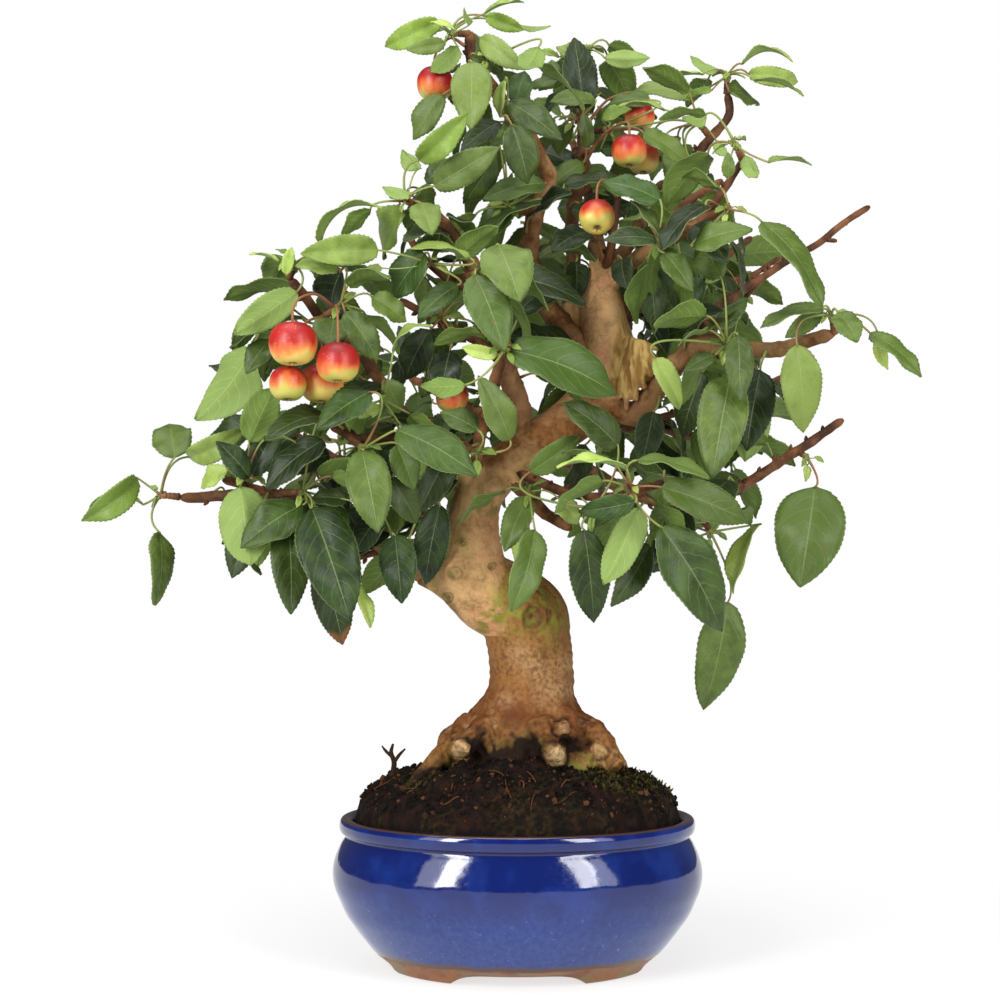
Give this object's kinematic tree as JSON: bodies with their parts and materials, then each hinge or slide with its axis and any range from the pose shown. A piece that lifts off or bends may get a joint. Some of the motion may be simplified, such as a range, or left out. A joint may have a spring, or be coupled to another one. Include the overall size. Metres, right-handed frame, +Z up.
{
  "type": "crabapple bonsai",
  "caption": "Crabapple grown as a bonsai: a bent trunk with boughs, leafy sprays and small apples, standing in soil in a glazed oval pot on low feet.",
  "frame": {"origin": "on the ground under the middle of the whole thing's box", "axes": "+Z up, -Y towards the front, where the trunk's bend and the long side of the oval pot show; +X to the right"},
  "size_m": [0.467, 0.296, 0.5516],
  "materials": {
    "glaze": "gloss",
    "soil": "matte",
    "bark": "matte",
    "apple_skin": "gloss",
    "foliage": "satin"
  },
  "bodies": {
    "root": {"pot": "glaze", "soil": "soil", "trunk": "bark", "apple_1": "apple_skin", "apple_2": "apple_skin", "apple_3": "apple_skin", "apple_4": "apple_skin", "apple_5": "apple_skin", "apple_6": "apple_skin", "apple_7": "apple_skin", "apple_8": "apple_skin", "apple_9": "apple_skin", "apple_10": "apple_skin", "leaves_left_tip": "foliage", "leaves_left_low": "foliage", "leaves_left_fan": "foliage", "leaves_left_shade": "foliage", "leaves_left_hand": "foliage", "leaves_left_inner": "foliage", "leaves_left_crown": "foliage", "leaves_left_fruit": "foliage", "leaves_left_side": "foliage", "leaves_upper_left": "foliage", "leaves_upper_left_low": "foliage", "leaves_middle_left": "foliage", "leaves_middle_high": "foliage", "leaves_crown_left": "foliage", "leaves_top": "foliage", "leaves_top_low": "foliage", "leaves_top_left": "foliage", "leaves_crown_middle": "foliage", "leaves_crown_middle_low": "foliage", "leaves_crown_fruit": "foliage", "leaves_right_crown": "foliage", "leaves_right_crown_low": "foliage", "leaves_right_fork": "foliage", "leaves_right_inner": "foliage", "leaves_right_arch": "foliage", "leaves_right_shade": "foliage", "leaves_right_middle": "foliage", "leaves_right_end": "foliage", "leaves_right_bough": "foliage", "leaves_right_twig": "foliage", "leaves_right_hanging": "foliage", "leaves_right_low": "foliage", "leaves_front_right": "foliage", "leaves_front_middle": "foliage", "leaves_front_trunk": "foliage", "leaves_front_high": "foliage", "leaves_front_left": "foliage", "leaves_low_bough": "foliage", "leaves_inner_left": "foliage", "leaves_back_high_left": "foliage", "leaves_back_high_right": "foliage", "leaves_back_crown": "foliage", "leaves_back_left": "foliage", "leaves_back_left_low": "foliage", "leaves_back_right_low": "foliage", "leaves_back_middle": "foliage", "leaves_back_low": "foliage"}
  },
  "joints": []
}
